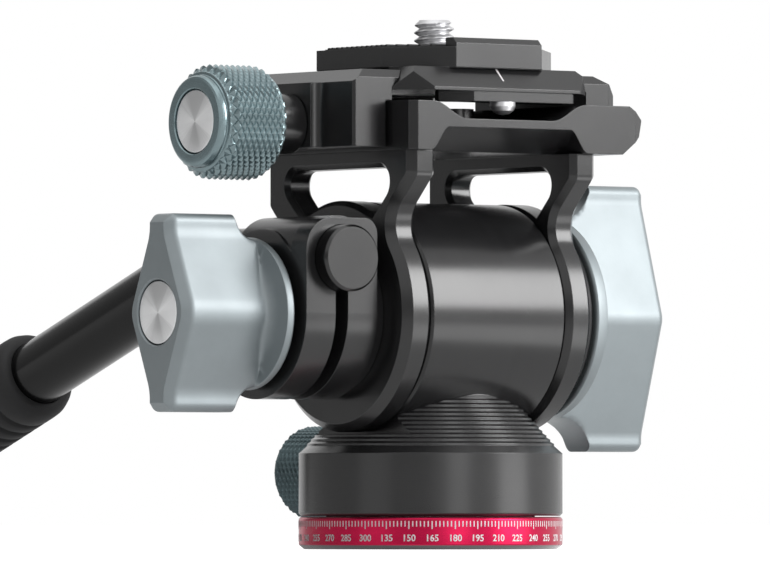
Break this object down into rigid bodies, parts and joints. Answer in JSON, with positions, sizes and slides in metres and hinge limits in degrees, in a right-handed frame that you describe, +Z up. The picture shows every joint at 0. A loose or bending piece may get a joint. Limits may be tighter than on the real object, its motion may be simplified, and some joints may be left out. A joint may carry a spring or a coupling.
{
  "type": "fluid video head",
  "caption": "Compact fluid video head: panning base with scale ring, damped tilt drum in a windowed yoke, dovetail clamp with release plate, wing knobs and a bent pan handle.",
  "frame": {"origin": "middle of the base's underside, on the pan axis, where the tripod socket opens", "axes": "+Z up the pan axis, X along the tilt axis with the handle hub at -X, lens towards -Y, handle at +Y"},
  "size_m": [0.0949, 0.1459, 0.0842],
  "materials": {
    "black_anodised": "satin black anodised aluminium",
    "crimson_anodised": "crimson anodised aluminium with white marks",
    "blue_grey_metal": "fine blasted pale blue grey",
    "teal_metal": "knurled teal grey",
    "dark_teal_metal": "knurled dark teal grey",
    "steel": "bright steel",
    "bright_aluminium": "radially brushed",
    "bronze": "plain bearing bronze",
    "black_rubber": "matt rubber",
    "black_plastic": "matt plastic"
  },
  "bodies": {
    "base": {"base_plate": "black_anodised", "scale_ring": "crimson_anodised", "thread_bush": "steel", "pan_washer": "bronze", "pan_nut": "steel"},
    "pan": {"pan_housing": "black_anodised", "pan_bush": "bronze", "pan_seal": "black_rubber", "drum": "black_anodised", "drum_screws": "steel", "drum_caps": "black_anodised", "tilt_bushes": "bronze", "damper_seals": "black_rubber", "friction_rings": "black_plastic"},
    "pan_lock": {"pan_knob": "dark_teal_metal", "pan_lock_screw": "steel"},
    "pan_brake": {"pan_brake_shoe": "bronze"},
    "tilt": {"yoke": "black_anodised", "tilt_shaft": "steel", "damper_rotor": "bright_aluminium", "clamp_body": "black_anodised", "clamp_bolts": "steel", "hub_rosette": "black_anodised"},
    "pressure": {"pressure_plate": "black_anodised"},
    "tilt_lock": {"tilt_knob": "blue_grey_metal", "tilt_knob_nut": "steel", "tilt_knob_disc": "bright_aluminium"},
    "hub": {"handle_hub": "black_anodised", "hub_washer": "black_anodised"},
    "handle": {"handle_rod": "black_anodised", "handle_grip": "black_rubber", "grip_cap": "black_plastic"},
    "handle_lock": {"handle_knob": "blue_grey_metal", "handle_knob_nut": "steel", "handle_knob_disc": "bright_aluminium"},
    "jaw": {"moving_jaw": "black_anodised", "jaw_pins": "steel"},
    "clamp_lock": {"clamp_knob": "teal_metal", "clamp_collar": "black_anodised", "clamp_screw": "steel", "clamp_knob_disc": "bright_aluminium"},
    "plate": {"qr_plate": "black_anodised", "plate_pad": "black_rubber", "stop_screws": "steel"},
    "camera_screw": {"camera_screw": "steel"}
  },
  "joints": [
    {"name": "pan_turn", "type": "hinge", "parent": "base", "child": "pan", "pos_m": [0, 0, 0.01], "axis": [0, 0, 1], "continuous": true},
    {"name": "pan_lock_turn", "type": "hinge", "parent": "pan", "child": "pan_lock", "pos_m": [0, 0.0225, 0.0122], "axis": [0, -1, 0], "range_deg": [0, 180]},
    {"name": "pan_brake_press", "type": "slide", "parent": "pan", "child": "pan_brake", "axis": [0, -1, 0], "range_m": [0, 0.00045]},
    {"name": "tilt_turn", "type": "hinge", "parent": "pan", "child": "tilt", "pos_m": [0, 0, 0.037], "axis": [1, 0, 0], "range_deg": [-75, 90]},
    {"name": "tilt_lock_turn", "type": "hinge", "parent": "tilt", "child": "tilt_lock", "pos_m": [0.03, 0, 0.037], "axis": [1, 0, 0], "range_deg": [0, 100]},
    {"name": "pressure_slide", "type": "slide", "parent": "tilt", "child": "pressure", "axis": [1, 0, 0], "range_m": [0, 0.00036]},
    {"name": "hub_turn", "type": "hinge", "parent": "tilt", "child": "hub", "pos_m": [-0.0276, 0, 0.037], "axis": [1, 0, 0], "range_deg": [-60, 30]},
    {"name": "handle_roll", "type": "hinge", "parent": "hub", "child": "handle", "pos_m": [-0.0276, 0, 0.0456], "axis": [0, 1, 0], "range_deg": [-180, 180]},
    {"name": "handle_lock_turn", "type": "hinge", "parent": "tilt", "child": "handle_lock", "pos_m": [-0.045, 0, 0.037], "axis": [-1, 0, 0], "range_deg": [0, 180]},
    {"name": "jaw_slide", "type": "slide", "parent": "tilt", "child": "jaw", "axis": [-1, 0, 0], "range_m": [0, 0.0026]},
    {"name": "clamp_turn", "type": "hinge", "parent": "jaw", "child": "clamp_lock", "pos_m": [-0.04, 0, 0.067], "axis": [-1, 0, 0], "range_deg": [0, 715]},
    {"name": "plate_slide", "type": "slide", "parent": "tilt", "child": "plate", "axis": [0, 1, 0], "range_m": [-0.006, 0.006]},
    {"name": "camera_screw_turn", "type": "hinge", "parent": "plate", "child": "camera_screw", "pos_m": [0.0007, 0, 0.08], "axis": [0, 0, 1], "continuous": true}
  ],
  "couplings": [
    {"joint": "pan_brake_press", "follows": "pan_lock_turn", "m_per_rad": 0.00012732},
    {"joint": "pressure_slide", "follows": "tilt_lock_turn", "m_per_rad": 0.00019894},
    {"joint": "jaw_slide", "follows": "clamp_turn", "m_per_rad": 0.00019894}
  ]
}
